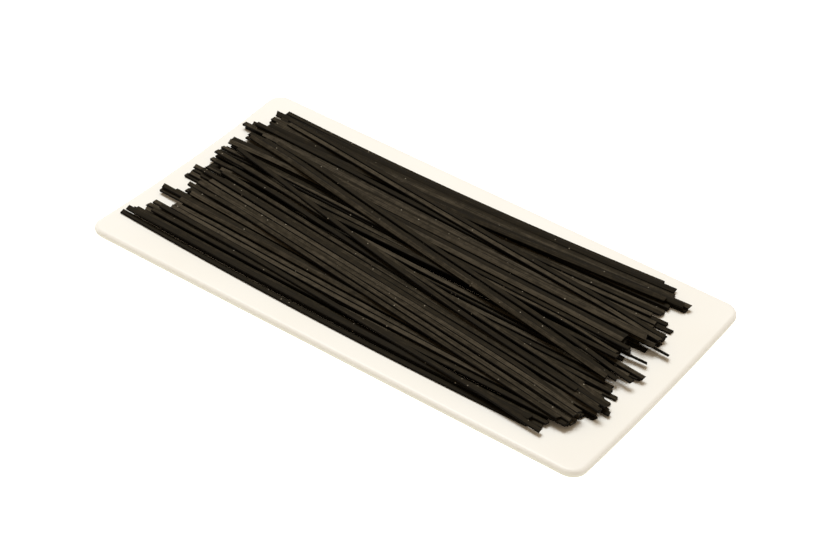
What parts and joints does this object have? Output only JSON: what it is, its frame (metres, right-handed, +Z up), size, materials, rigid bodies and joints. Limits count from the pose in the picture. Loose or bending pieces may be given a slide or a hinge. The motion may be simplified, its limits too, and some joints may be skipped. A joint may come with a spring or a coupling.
{
  "type": "bundle of dry spaghetti",
  "caption": "Loose heap of long, flat, black dry spaghetti strands lying nearly parallel on a plain, shallow, rectangular cream glazed plate.",
  "frame": {"origin": "centre of the plate's flat underside", "axes": "+X along the plate's long side and along the strands, +Y across the plate, +Z up"},
  "size_m": [0.3, 0.1624, 0.0226],
  "materials": {
    "glaze": "smooth glossy cream-white glaze",
    "pasta": "matt, dry, near-black brown with faint lengthwise streaks"
  },
  "bodies": {
    "root": {"plate": "glaze", "spaghetti": "pasta"}
  },
  "joints": []
}
